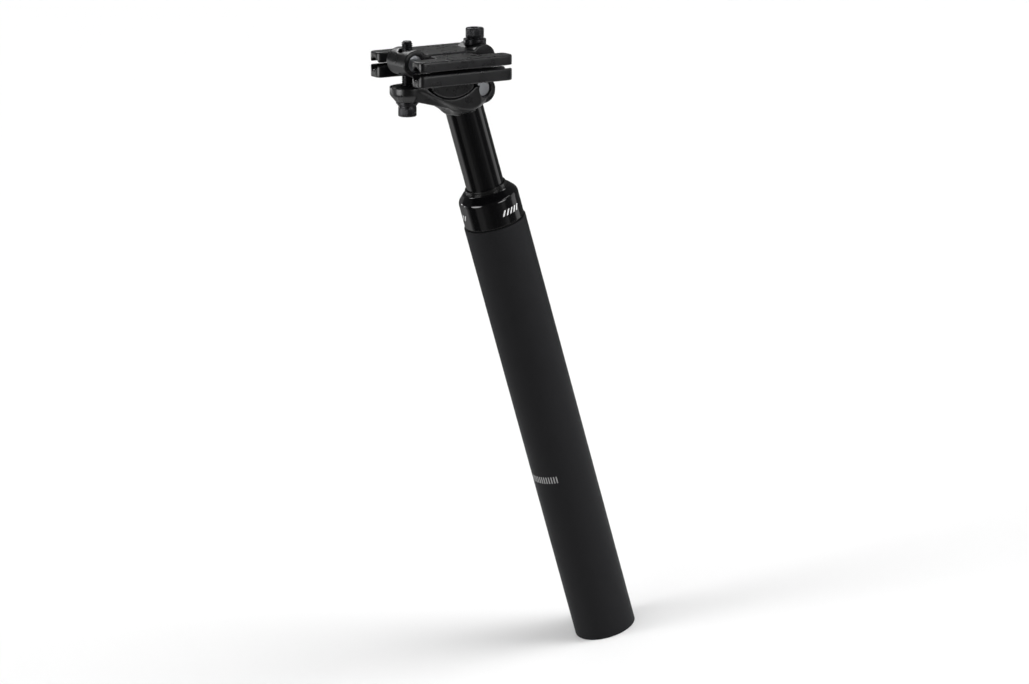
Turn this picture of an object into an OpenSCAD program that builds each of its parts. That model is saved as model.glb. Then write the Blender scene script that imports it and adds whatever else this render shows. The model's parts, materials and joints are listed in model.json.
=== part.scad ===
// Telescoping suspension seatpost with a two-bolt saddle clamp.
// +Z runs up the post's axis and +X points to the front of the bicycle.
// The origin is the centre of the outer tube's lower end.

/* [Outer tube] */
// Outside diameter of the outer tube
tube_d = 34.9; // [34.5:0.1:35.5]
// Wall thickness of the outer tube
tube_wall = 2.2; // [1.9:0.1:2.4]
// Length of the outer tube
tube_len = 254.4; // [250:0.1:300]

/* [Collar] */
// Outside diameter of the collar
collar_d = 33.6; // [33:0.1:34.4]
// Height of the collar's outside above the outer tube
collar_h = 19.2; // [18:0.1:22]
// Radius of the corner between the collar's side and its shoulder
corner_r = 2.2; // [1.6:0.1:3]
// Slope of the collar's conical shoulder, in degrees from the post's axis
shoulder_slope = 42; // [38:1:48]
// Height of the wiper's top above the outer tube
wiper_top = 21.5; // [21.2:0.1:24]

/* [Shaft] */
// Outside diameter of the sliding shaft
shaft_d = 21; // [20.6:0.1:21.2]
// Wall thickness of the sliding shaft
shaft_wall = 3; // [2.5:0.1:3.2]
// Bare shaft between the wiper and the head
shaft_bare = 46; // [44:0.5:60]
// Suspension travel
travel = 40; // [30:1:40]

/* [Head] */
// Lean of the post from the vertical, in degrees
lean = 17; // [15:0.5:19]
// Height of the rail centres above the shaft's top
rail_z = 25; // [25:0.1:26]
// Distance between the centres of the two rails
rail_gauge = 44; // [43:0.5:45]
// Diameter of the rail grooves
rail_d = 7.1; // [7:0.05:7.2]
// Distance of the clamp's centre behind the shaft's top
setback = 14.5; // [14:0.5:15]
// Distance between the two clamp bolts
bolt_gap = 43; // [42:0.5:44]
// Length of the rail jaws
jaw_len = 59; // [54:1:62]

/* [Spring] */
// Wire diameter of the main spring
wire_d = 4; // [3.5:0.1:4.2]
// Mean diameter of the main spring's coils
coil_d = 22; // [21.8:0.1:22.4]
// Number of turns, closed ends included
turns = 14; // [10:1:14]

/* [Hidden] */
$fn = 96;

run_gap = 0.05;      // radial running clearance
free_gap = 0.3;      // gap between pieces that move past each other
bore_r = tube_d / 2 - tube_wall;
shaft_r = shaft_d / 2;
shaft_in_r = shaft_r - shaft_wall;
collar_r = collar_d / 2;

// Heights along the post, from the top down
head_z = tube_len + wiper_top + shaft_bare;    // shaft's top, where the head starts
seam_h = 0.9;                                  // O-ring groove between tube and collar
spigot_h = 12;                                 // threaded length of the collar
wiper_seat_z = tube_len + 15.6;
wiper_r = shaft_r + 1.6;
bushing_top = tube_len - spigot_h - 0.5;
bushing_len = 60.5;
bushing_z = bushing_top - bushing_len;
bumper_h = 5;
slider_top = bushing_z - free_gap - bumper_h;
slider_h = 24;
shaft_z = slider_top - slider_h;               // shaft's lower end
flange_h = 4;
foot_z = shaft_z - flange_h;
pilot_h = 8;                                   // foot's pilot that centres the spring
spring_top = foot_z - 2;

// Heights of the preload adjuster, from the bottom up
plug_z = 6;
plug_h = 20;
socket_af = 8;
socket_h = 10;
seat_z = plug_z + plug_h + free_gap;
seat_h = 6;
spring_z = seat_z + seat_h;
preload_lift = 6;
core_top = foot_z - pilot_h - travel - preload_lift - 2;    // bumper's top, clear at full travel
bottom_bumper_h = 16;

// Anti-rotation keys
key_count = 4;
key_w = 3;
key_len = 12;
key_in_r = shaft_r - 1.1;
key_out_r = shaft_r + 1.3;
key_z = bushing_top - 1.5 - key_len;

// Clamp, in the head's own frame: X level and forward, Z upright
tilt_z = rail_z + 3;                           // height of the tilt centre
seat_r = 20;                                   // curved underside of the cradle
rear_x = -setback - bolt_gap / 2;
front_x = -setback + bolt_gap / 2;
bolt_r = 3;
bolt_head_r = 5;
bolt_head_h = 6;
hex_af = 5;
hex_h = 3;
bolt_hole_r = 3.3;
nut_r = 4.5;
nut_len = 16;
boss_r = 7.5;
boss_half = 9.5;
slot_half = 4.8;                               // bolt slots, room for the clamp to tilt
slot_w = 2 * 3.5;
rear_under_z = 6.5;                            // underside of the rear ear
washer_h = 2;
washer_r = 6.2;
front_nut_z = 11.2;
head_top = 13.5;
ear_top = 15;
ear_r = 9.6;
ear_foot_r = 6.3;
ear_cone_h = 4;
spot_face_r = 6.6;                             // seat cut in the arm for the rear washer
front_boss_top = 16.9;                         // flat on the head's front boss, clear of the clamp
head_half = 12.5;
rim_r = shaft_r + 0.6;
neck_flare = 0.85;                             // growth of the neck's radius with height
jaw_half = 5.25;
jaw_gap = 0.8;                                 // half the gap between the two jaws
web_half = 13;
spine_top = tilt_z + boss_r - 2.8;             // top of the bar between the clamp's two bosses
front_washer_h = 3.2;
front_seat_z = tilt_z + boss_r + free_gap + 1.7;    // top of the front washer
stub_len = 25;

// Points of an arc about c, from angle a0 to a1
function arc(c, r, a0, a1, n = 12) =
    [for (i = [0:n]) let (a = a0 + (a1 - a0) * i / n) c + r * [cos(a), sin(a)]];

// Moves what is drawn in the head's frame to its place on the post
module on_head() {
    translate([0, 0, head_z]) rotate([0, lean, 0]) children();
}

// Ring of rectangular section
module ring(r_in, r_out, z, h) {
    translate([0, 0, z]) difference() {
        cylinder(r = r_out, h = h);
        translate([0, 0, -1]) cylinder(r = r_in, h = h + 2);
    }
}

// Cylinder along Y, centred on the head's XZ plane at (x, z)
module cross_rod(x, z, r, len) {
    translate([x, len / 2, z]) rotate([90, 0, 0]) cylinder(r = r, h = len);
}

// Outline in the head's XZ plane, extruded evenly to both sides of it
module side_shape(half) {
    translate([0, half, 0]) rotate([90, 0, 0]) linear_extrude(height = 2 * half) children();
}

// Upright slot that lets a bolt swing in the clamp
module bolt_slot(x) {
    straight = 2 * (slot_half - slot_w / 2);
    translate([x - straight / 2, -slot_w / 2, 0]) cube([straight, slot_w, 60]);
    for (s = [-1, 1]) translate([x + s * straight / 2, 0, 0]) cylinder(d = slot_w, h = 60);
}

// Socket-head screw that hangs from z = 0: head upwards, shank down
module socket_screw(len) {
    difference() {
        union() {
            cylinder(r = bolt_head_r, h = bolt_head_h);
            translate([0, 0, -len]) cylinder(r = bolt_r, h = len + 1);
        }
        translate([0, 0, bolt_head_h - hex_h])
            cylinder(d = hex_af / cos(30), h = hex_h + 1, $fn = 6);
    }
}

// Barrel nut along Y at height z, with its thread along Z
module barrel_nut(x, z) {
    difference() {
        cross_rod(x, z, nut_r, nut_len);
        translate([x, 0, z - nut_r - 1]) cylinder(r = bolt_hole_r, h = 2 * nut_r + 2);
    }
}

// Plan of one rail jaw: a bar with rounded corners
module jaw_plan(y) {
    corner = 3;
    long = jaw_len / 2 - corner;
    wide = jaw_half - corner;
    translate([-setback, y]) {
        square([jaw_len, 2 * wide], center = true);
        square([2 * long, 2 * jaw_half], center = true);
        for (sx = [-1, 1], sy = [-1, 1]) translate([sx * long, sy * wide]) circle(r = corner);
    }
}

module rail_grooves() {
    for (s = [-1, 1]) translate([-setback - jaw_len, s * rail_gauge / 2, rail_z])
        rotate([0, 90, 0]) cylinder(d = rail_d, h = 2 * jaw_len);
}

module lower_tube() {
    color([0.09, 0.09, 0.10]) ring(bore_r, tube_d / 2, 0, tube_len);
}

module collar() {
    top = tube_len + collar_h;
    top_edge_r = wiper_r + 1.1;
    spigot_r = bore_r - run_gap;
    groove_r = bore_r + 0.2;
    mouth_r = shaft_r + 0.4;
    seat_bore_r = wiper_r + run_gap;
    cone_start_r = collar_r - corner_r * (1 - cos(shoulder_slope));
    cone_start_z = top - (cone_start_r - top_edge_r) / tan(shoulder_slope);
    corner_z = cone_start_z - corner_r * sin(shoulder_slope);
    color([0.03, 0.03, 0.03]) rotate_extrude() polygon(concat(
        [[mouth_r, tube_len - spigot_h], [spigot_r, tube_len - spigot_h],
            [spigot_r, tube_len], [groove_r, tube_len], [groove_r, tube_len + seam_h],
            [collar_r - 0.3, tube_len + seam_h], [collar_r, tube_len + seam_h + 0.3]],
        arc([collar_r - corner_r, corner_z], corner_r, 0, shoulder_slope, 8),
        [[top_edge_r, top], [seat_bore_r, top], [seat_bore_r, wiper_seat_z],
            [mouth_r, wiper_seat_z]]));
}

module wiper_seal() {
    lip_r = 0.75;
    taper = 0.4;
    top = tube_len + wiper_top;
    color([0.05, 0.05, 0.05]) rotate_extrude() polygon(concat(
        [[shaft_r + run_gap, wiper_seat_z], [wiper_r, wiper_seat_z], [wiper_r, tube_len + collar_h + 0.6]],
        arc([wiper_r - taper - lip_r, top - lip_r], lip_r, 0, 90, 6),
        [[shaft_r + run_gap, top - 0.5]]));
}

module collar_o_ring() {
    color([0.02, 0.02, 0.02]) ring(bore_r + 0.2, bore_r + 1.1, tube_len, seam_h);
}

module guide_bushing() {
    way_w = key_w + 2 * run_gap;
    way_r = key_out_r + 0.2;
    color([0.85, 0.85, 0.80]) difference() {
        ring(shaft_r + run_gap, bore_r, bushing_z, bushing_len);
        for (i = [0:key_count - 1]) rotate(i * 360 / key_count)
            translate([0, -way_w / 2, bushing_z - 1]) cube([way_r, way_w, bushing_len + 2]);
    }
}

module guide_keys() {
    color([0.70, 0.71, 0.73])
    for (i = [0:key_count - 1]) rotate(i * 360 / key_count) intersection() {
        translate([key_in_r, -key_w / 2, key_z]) cube([key_w, key_w, key_len]);
        cylinder(r = key_out_r, h = tube_len);
    }
}

module shaft() {
    color([0.02, 0.02, 0.02]) difference() {
        ring(shaft_in_r, shaft_r, shaft_z, head_z - shaft_z);
        for (i = [0:key_count - 1]) rotate(i * 360 / key_count)
            translate([key_in_r, -key_w / 2, key_z]) cube([key_w, key_w, key_len]);
    }
}

// Side view of the head's arm: fillet at the neck, rising underside, flat top
module arm_outline() {
    neck = rim_r * [-cos(lean), -sin(lean)];
    fillet = 8;
    rise = 13.5;
    centre = neck + fillet * [-cos(lean), -sin(lean)];
    polygon(concat(
        arc(centre, fillet, lean, 90 - rise),
        [[rear_x, rear_under_z + 0.8], [rear_x, ear_top], [rear_x + 10, ear_top],
            [rear_x + 12, head_top], [front_x - 5, head_top], [front_x + 4, head_top],
            rim_r * [cos(lean), sin(lean)]]));
}

// Plan of the head: a square middle that tapers back to the rear ear
module head_plan() {
    translate([rear_x, 0]) circle(r = ear_r);
    polygon([[rear_x, ear_r], [rear_x, -ear_r], [-setback - 8, -head_half],
        [front_x - 4, -head_half], [front_x + 4, -boss_half], [front_x + 12, -boss_half],
        [front_x + 12, boss_half], [front_x + 4, boss_half], [front_x - 4, head_half],
        [-setback - 8, head_half]]);
}

// Round neck that widens upwards from the shaft's rim, with the arm running back from it
module neck_and_arm() {
    below = 3;
    above = 36;
    rotate([0, -lean, 0]) translate([0, 0, -below])
        cylinder(r1 = rim_r - neck_flare * below, r2 = rim_r + neck_flare * above, h = below + above);
    translate([rear_x - ear_r, -ear_r, 0]) cube([-rear_x, 2 * ear_r, ear_top]);
}

module head() {
    blind_z = front_nut_z - nut_r - 2.6;
    color([0.06, 0.06, 0.065]) union() {
        translate([0, 0, head_z - stub_len]) cylinder(r = shaft_in_r, h = stub_len + 1);
        on_head() difference() {
            union() {
                intersection() {
                    side_shape(head_half) arm_outline();
                    translate([0, 0, -20]) linear_extrude(height = 60) head_plan();
                    neck_and_arm();
                }
                cross_rod(front_x, front_nut_z - 0.8, boss_r, 2 * boss_half);
                translate([rear_x, 0, rear_under_z + ear_cone_h])
                    cylinder(r = ear_r, h = ear_top - rear_under_z - ear_cone_h);
                translate([rear_x, 0, rear_under_z])
                    cylinder(r1 = ear_foot_r, r2 = ear_r, h = ear_cone_h);
            }
            cross_rod(-setback, tilt_z, seat_r + free_gap, 60);
            translate([rear_x, 0, 0]) cylinder(r = bolt_hole_r, h = 40);
            translate([rear_x, 0, 0]) cylinder(r = spot_face_r, h = rear_under_z);
            translate([front_x, 0, blind_z]) cylinder(r = bolt_hole_r, h = 40);
            cross_rod(front_x, front_nut_z, nut_r + run_gap, 60);
            translate([front_x - boss_r, -head_half, front_boss_top])
                cube([2 * boss_r, 2 * head_half, boss_r]);
        }
    }
}

module slider() {
    color([0.88, 0.87, 0.82]) ring(shaft_r, bore_r - run_gap, shaft_z, slider_h);
}

module top_out_bumper() {
    color([0.10, 0.10, 0.10]) ring(shaft_r, bore_r - 1.2, slider_top, bumper_h);
}

module shaft_foot() {
    pilot_r = coil_d / 2 - wire_d / 2 - 0.5;
    color([0.62, 0.63, 0.65]) {
        difference() {
            union() {
                translate([0, 0, shaft_z - 0.5]) cylinder(r = shaft_in_r, h = 18.5);
                translate([0, 0, foot_z]) cylinder(r = bore_r - 1, h = flange_h);
                translate([0, 0, foot_z - pilot_h]) cylinder(r = pilot_r, h = pilot_h + 1);
            }
            translate([0, 0, foot_z - pilot_h - 1])
                cylinder(d = socket_af / cos(30), h = socket_h + 1, $fn = 6);
        }
    }
}

module spring_washer() {
    color([0.80, 0.78, 0.70])
        ring(coil_d / 2 - wire_d / 2 - 0.5, bore_r - 1, spring_top, foot_z - spring_top);
}

// Height of the wire's centre at turn t: closed for one turn at each end, even between
function coil_z(t) =
    let (low = spring_z + wire_d / 2, high = spring_top - wire_d / 2,
        pitch = (high - low - 2 * wire_d) / (turns - 2))
    t < 1 ? low + t * wire_d
    : t > turns - 1 ? high - (turns - t) * wire_d
    : low + wire_d + (t - 1) * pitch;

module main_spring() {
    steps = 16;
    sides = 8;
    wire_r = wire_d / 2 - 0.02;
    rings = turns * steps;
    points = [for (i = [0:rings], j = [0:sides - 1])
        let (turn = i / steps, a = 360 * turn, b = 360 * j / sides, r = coil_d / 2 + wire_r * cos(b))
        [r * cos(a), r * sin(a), coil_z(turn) + wire_r * sin(b)]];
    walls = [for (i = [0:rings - 1], j = [0:sides - 1])
        let (k = (j + 1) % sides)
        [i * sides + j, i * sides + k, (i + 1) * sides + k, (i + 1) * sides + j]];
    ends = [[for (j = [sides - 1:-1:0]) j], [for (j = [0:sides - 1]) rings * sides + j]];
    color([0.45, 0.46, 0.48]) polyhedron(points, concat(walls, ends));
}

module spring_guide() {
    guide_r = coil_d / 2 - wire_d / 2 - 0.6;
    color([0.15, 0.15, 0.16])
        translate([0, 0, spring_z]) cylinder(r = guide_r, h = core_top - bottom_bumper_h - spring_z);
}

module bottom_bumper() {
    color([0.75, 0.55, 0.20])
        translate([0, 0, core_top - bottom_bumper_h]) cylinder(r = 7.5, h = bottom_bumper_h);
}

module spring_seat() {
    color([0.62, 0.63, 0.65]) difference() {
        translate([0, 0, seat_z]) cylinder(r = bore_r - 0.35, h = seat_h);
        translate([0, 0, seat_z - 1]) cylinder(r = 4 + run_gap, h = 1 + seat_h - 2);
    }
}

module preload_plug() {
    color([0.30, 0.31, 0.33]) difference() {
        union() {
            translate([0, 0, plug_z]) cylinder(r = bore_r - run_gap, h = plug_h);
            translate([0, 0, plug_z + plug_h - 1]) cylinder(r = 4, h = 4.5);
        }
        translate([0, 0, plug_z - 1]) cylinder(d = socket_af / cos(30), h = socket_h + 1, $fn = 6);
    }
}

module lower_cradle() {
    jaw_z = rail_z - 7.5;
    plate_top = rail_z - jaw_gap;
    color([0.05, 0.05, 0.055]) on_head() difference() {
        union() {
            intersection() {
                cross_rod(-setback, tilt_z, seat_r, 2 * web_half);
                translate([-setback - web_half, -web_half, 0])
                    cube([2 * web_half, 2 * web_half, plate_top]);
            }
            translate([-setback - web_half, -rail_gauge / 2, jaw_z])
                cube([2 * web_half, rail_gauge, plate_top - jaw_z]);
            for (s = [-1, 1]) translate([0, 0, jaw_z])
                linear_extrude(height = plate_top - jaw_z) jaw_plan(s * rail_gauge / 2);
        }
        rail_grooves();
    }
}

module upper_clamp() {
    jaw_z = rail_z + jaw_gap;
    jaw_top = rail_z + 6.5;
    color([0.05, 0.05, 0.055]) on_head() difference() {
        union() {
            for (x = [rear_x, front_x]) cross_rod(x, tilt_z, boss_r, 2 * boss_half);
            translate([rear_x, -boss_half, jaw_z])
                cube([bolt_gap, 2 * boss_half, spine_top - jaw_z]);
            translate([-setback - web_half, -rail_gauge / 2, jaw_z])
                cube([2 * web_half, rail_gauge, jaw_top - jaw_z]);
            for (s = [-1, 1]) translate([0, 0, jaw_z])
                linear_extrude(height = jaw_top - jaw_z) jaw_plan(s * rail_gauge / 2);
        }
        rail_grooves();
        for (x = [rear_x, front_x]) bolt_slot(x);
        cross_rod(rear_x, tilt_z, nut_r + run_gap, 2 * boss_half + 2);
    }
}

module front_bolt() {
    color([0.08, 0.08, 0.08]) on_head()
        translate([front_x, 0, front_seat_z]) socket_screw(30);
}

module rear_bolt() {
    color([0.08, 0.08, 0.08]) on_head()
        translate([rear_x, 0, rear_under_z - washer_h]) mirror([0, 0, 1]) socket_screw(35);
}

module front_washer() {
    color([0.12, 0.12, 0.12]) on_head() difference() {
        translate([front_x, 0, front_seat_z - front_washer_h])
            cylinder(r = washer_r, h = front_washer_h);
        cross_rod(front_x, tilt_z, boss_r + free_gap, 40);
        translate([front_x, 0, 0]) cylinder(r = bolt_r + 0.1, h = 60);
    }
}

module rear_washer() {
    body_r = 5.4;
    color([0.12, 0.12, 0.12]) on_head() translate([rear_x, 0, rear_under_z - washer_h])
        difference() {
            union() {
                cylinder(r = body_r, h = washer_h);
                translate([0, 0, washer_h / 2]) cylinder(r = washer_r, h = washer_h / 2);
            }
            translate([0, 0, -1]) cylinder(r = bolt_r + 0.1, h = washer_h + 2);
        }
}

module front_nut() {
    color([0.60, 0.61, 0.63]) on_head() barrel_nut(front_x, front_nut_z);
}

module rear_nut() {
    color([0.60, 0.61, 0.63]) on_head() barrel_nut(rear_x, tilt_z);
}

lower_tube();
collar();
wiper_seal();
collar_o_ring();
guide_bushing();
guide_keys();
shaft();
head();
slider();
top_out_bumper();
shaft_foot();
spring_washer();
main_spring();
spring_guide();
bottom_bumper();
spring_seat();
preload_plug();
lower_cradle();
upper_clamp();
front_bolt();
rear_bolt();
front_washer();
rear_washer();
front_nut();
rear_nut();
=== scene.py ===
"""Looks of a telescoping suspension seatpost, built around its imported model.

Everything is in metres in the part's frame: +Z up the post, +X to the front of the bicycle.
"""
import json
import math

import bmesh
import bpy
import numpy as np
from mathutils import Matrix, Vector


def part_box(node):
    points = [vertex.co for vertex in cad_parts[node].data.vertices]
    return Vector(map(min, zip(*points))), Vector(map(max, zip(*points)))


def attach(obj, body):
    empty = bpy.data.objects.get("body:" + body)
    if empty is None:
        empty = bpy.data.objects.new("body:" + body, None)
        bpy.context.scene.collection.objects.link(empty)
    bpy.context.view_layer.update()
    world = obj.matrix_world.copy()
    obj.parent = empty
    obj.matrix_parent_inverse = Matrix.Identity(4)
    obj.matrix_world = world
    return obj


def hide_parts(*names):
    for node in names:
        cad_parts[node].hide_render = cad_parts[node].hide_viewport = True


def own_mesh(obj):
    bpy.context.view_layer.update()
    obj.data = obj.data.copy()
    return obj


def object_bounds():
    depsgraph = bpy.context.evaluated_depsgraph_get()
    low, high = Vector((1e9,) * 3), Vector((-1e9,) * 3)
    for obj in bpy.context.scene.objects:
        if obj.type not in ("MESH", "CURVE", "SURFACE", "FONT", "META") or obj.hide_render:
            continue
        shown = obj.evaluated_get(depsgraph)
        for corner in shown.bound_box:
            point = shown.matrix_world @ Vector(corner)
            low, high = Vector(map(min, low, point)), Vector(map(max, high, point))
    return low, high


MM = 0.001
TURN = 2 * math.pi
ROUND_STEPS = 4          # facets of each rounded edge
LATHE_SEGMENTS = 144     # facets round a turned piece
SHAPED_SEGMENTS = 160    # facets round a piece with a socket, a knurl or a thread
CAMERA_AZIMUTH = -28     # degrees round the post from its right side towards its front
CAMERA_ELEVATION = 21    # degrees above the level of its base
SCREW_HEAD = 6 * MM      # height of a clamp screw's head
PLUG_KEY = 8 * MM        # hexagon key of the preload plug and the shaft's foot, across flats
PLUG_SOCKET = 10 * MM    # depth of their sockets
PLUG_PITCH = 1.5 * MM    # thread of the preload plug
NOSE_R = 4 * MM          # nose of the preload plug, in the spring seat
PILOT_R = 8.5 * MM       # foot's pilot inside the spring, and the washer's bore

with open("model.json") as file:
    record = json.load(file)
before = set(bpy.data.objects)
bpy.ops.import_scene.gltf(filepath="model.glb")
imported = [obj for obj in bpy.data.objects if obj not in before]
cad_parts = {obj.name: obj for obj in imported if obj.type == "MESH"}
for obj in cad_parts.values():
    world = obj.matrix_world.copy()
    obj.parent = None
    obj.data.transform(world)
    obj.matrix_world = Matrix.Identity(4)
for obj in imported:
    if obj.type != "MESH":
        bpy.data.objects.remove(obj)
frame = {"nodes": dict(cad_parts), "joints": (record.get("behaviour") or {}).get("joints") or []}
cad_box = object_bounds()
scene = bpy.context.scene


# ---------------------------------------------------------------- places, from the frame

def joint(name):
    return next(j for j in frame["joints"] if j["name"] == name)


def half_width(node):
    """Radius of a turned CAD node, from its box."""
    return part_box(node)[1].y


def bottom(node):
    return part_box(node)[0].z


def top(node):
    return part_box(node)[1].z


def reach(node, direction):
    """Lowest and highest place of a CAD node along a direction."""
    points = np.array([v.co for v in frame["nodes"][node].data.vertices])
    along = points @ np.array(direction)
    return along.min(), along.max()


UPRIGHT = Vector(joint("front_bolt_height")["axis"])      # vertical when the post is on a bicycle
REAR_NUT = Vector(joint("rear_nut_turn")["pos_m"])
TILT_CENTRE = Vector(joint("cradle_tilt")["pos_m"])
FRONT_AXIS = 2 * TILT_CENTRE - REAR_NUT                   # place on the front bolt's axis
TUBE_R = half_width("lower_tube")
TUBE_TOP = top("lower_tube")
BORE_R = half_width("preload_plug") + 0.05 * MM           # the plug runs free in the tube
SHAFT_R = half_width("shaft")
SHAFT_BORE = SHAFT_R - 3 * MM                             # its wall is 3 mm thick


# ---------------------------------------------------------------- pieces and their meshes

def dress(piece, shader):
    """Gives a piece one material."""
    piece.data.materials.clear()
    piece.data.materials.append(shader.material)


def add_piece(mesh, body, node, shader):
    """Puts a mesh in the scene as a piece that rides on a body and stands for a CAD node."""
    piece = bpy.data.objects.new(mesh.name, mesh)
    scene.collection.objects.link(piece)
    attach(piece, body)
    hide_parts(node)
    dress(piece, shader)
    return piece


def add_crisp_piece(mesh, body, node, shader):
    """A piece whose flats stay flat where they meet small rounded edges."""
    piece = add_piece(mesh, body, node, shader)
    weighted = piece.modifiers.new("weighted_normals", "WEIGHTED_NORMAL")
    weighted.keep_sharp = True
    weighted.weight = 80


def finish_mesh(mesh, sharp_angle=35):
    """Outward faces, smooth shading, and edges over the angle kept sharp."""
    shape = bmesh.new()
    shape.from_mesh(mesh)
    bmesh.ops.remove_doubles(shape, verts=shape.verts, dist=1e-7)
    bmesh.ops.recalc_face_normals(shape, faces=shape.faces)
    limit = math.radians(sharp_angle)
    for edge in shape.edges:
        edge.smooth = edge.calc_face_angle(0) < limit
    for face in shape.faces:
        face.smooth = True
    shape.to_mesh(mesh)
    shape.free()
    return mesh


def skin(name, rings, closed=False, place=None):
    """Mesh through rings of equal length; the first and last are capped unless closed."""
    rings = [np.asarray(r, float) for r in rings]
    count = len(rings[0])
    points = [tuple(p) for ring in rings for p in ring]
    faces = []
    spans = len(rings) if closed else len(rings) - 1
    for i in range(spans):
        low, high = i * count, (i + 1) % len(rings) * count
        for j in range(count):
            k = (j + 1) % count
            faces.append((low + j, low + k, high + k, high + j))
    if not closed:
        for start, ring in ((0, rings[0]), ((len(rings) - 1) * count, rings[-1])):
            points.append(tuple(ring.mean(axis=0)))
            centre = len(points) - 1
            faces += [(start + j, start + (j + 1) % count, centre) for j in range(count)]
    mesh = bpy.data.meshes.new(name)
    mesh.from_pydata(points, [], faces)
    if place is not None:
        mesh.transform(place)
    return finish_mesh(mesh)


def soften(outline, radius, closed):
    """Rounds each corner of an outline of (r, z) points; a corner may carry its own radius."""
    points = [np.array(p[:2], float) for p in outline]
    radii = [p[2] if len(p) > 2 else radius for p in outline]
    count = len(points)
    share = 0.45             # most that a corner may take of either side
    out = []
    for i, here in enumerate(points):
        if not closed and i in (0, count - 1):
            out.append(here)
            continue
        before, after = points[i - 1] - here, points[(i + 1) % count] - here
        l0, l1 = np.linalg.norm(before), np.linalg.norm(after)
        cut = min(radii[i], share * l0, share * l1)
        if cut < 1e-6:
            out.append(here)
            continue
        a, b = here + before / l0 * cut, here + after / l1 * cut
        for s in range(ROUND_STEPS + 1):
            t = s / ROUND_STEPS
            out.append((1 - t) ** 2 * a + 2 * t * (1 - t) * here + t ** 2 * b)
    return out


def circle(radius, z, segments=LATHE_SEGMENTS):
    angles = np.arange(segments) * TURN / segments
    return np.stack([radius * np.cos(angles), radius * np.sin(angles), np.full(segments, z)], 1)


def lathe(name, outline, edge=0.3 * MM, place=None):
    """Turned ring from a closed outline of (r, z) points."""
    return skin(name, [circle(r, z) for r, z in soften(outline, edge, True)], True, place)


def shaped(name, stations, segments=SHAPED_SEGMENTS, place=None):
    """Solid through (radius, z) stations; a radius may be a function of the angle."""
    angles = np.arange(segments) * TURN / segments
    rings = []
    for radius, z in stations:
        radii = np.array([radius(a) if callable(radius) else radius for a in angles])
        rings.append(np.stack([radii * np.cos(angles), radii * np.sin(angles),
                               np.full(segments, z)], 1))
    return skin(name, rings, place=place)


def upright_place(origin, direction):
    """Matrix that carries a piece made along +Z to an origin and a direction in the XZ plane."""
    z = Vector(direction).normalized()
    y = Vector((0, 1, 0))
    x = y.cross(z)
    return Matrix.Translation(origin) @ Matrix((x, y, z)).transposed().to_4x4()


def evaluated_mesh(piece):
    """The piece's mesh with its modifiers applied."""
    bpy.context.view_layer.update()
    state = bpy.context.evaluated_depsgraph_get()
    return bpy.data.meshes.new_from_object(piece.evaluated_get(state))


def cut_away(mesh, cutter):
    """Subtracts one closed mesh from another, exactly."""
    whole = bpy.data.objects.new("whole", mesh)
    tool = bpy.data.objects.new("tool", cutter)
    for each in (whole, tool):
        scene.collection.objects.link(each)
    boolean = whole.modifiers.new("cut", "BOOLEAN")
    boolean.operation = "DIFFERENCE"
    boolean.solver = "EXACT"
    boolean.object = tool
    name = mesh.name
    result = evaluated_mesh(whole)
    for each in (whole, tool):
        bpy.data.objects.remove(each)
    mesh.name = name + "_uncut"
    result.name = name
    return finish_mesh(result)


def forging(name, node, voxel, passes):
    """Softened copy of a CAD node, as a forged and blasted piece: remeshed, then smoothed."""
    mesh = frame["nodes"][node].data.copy()
    mesh.materials.clear()
    shape = bmesh.new()
    shape.from_mesh(mesh)
    bmesh.ops.remove_doubles(shape, verts=shape.verts, dist=1e-6)
    shape.to_mesh(mesh)
    shape.free()
    piece = bpy.data.objects.new(name, mesh)
    scene.collection.objects.link(piece)
    remesh = piece.modifiers.new("remesh", "REMESH")
    remesh.mode = "VOXEL"
    remesh.voxel_size = voxel
    smooth = piece.modifiers.new("smooth", "SMOOTH")
    smooth.factor = 0.5
    smooth.iterations = passes
    result = evaluated_mesh(piece)
    bpy.data.objects.remove(piece)
    for face in result.polygons:
        face.use_smooth = True
    result.name = name
    return result


# ---------------------------------------------------------------- materials

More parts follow.
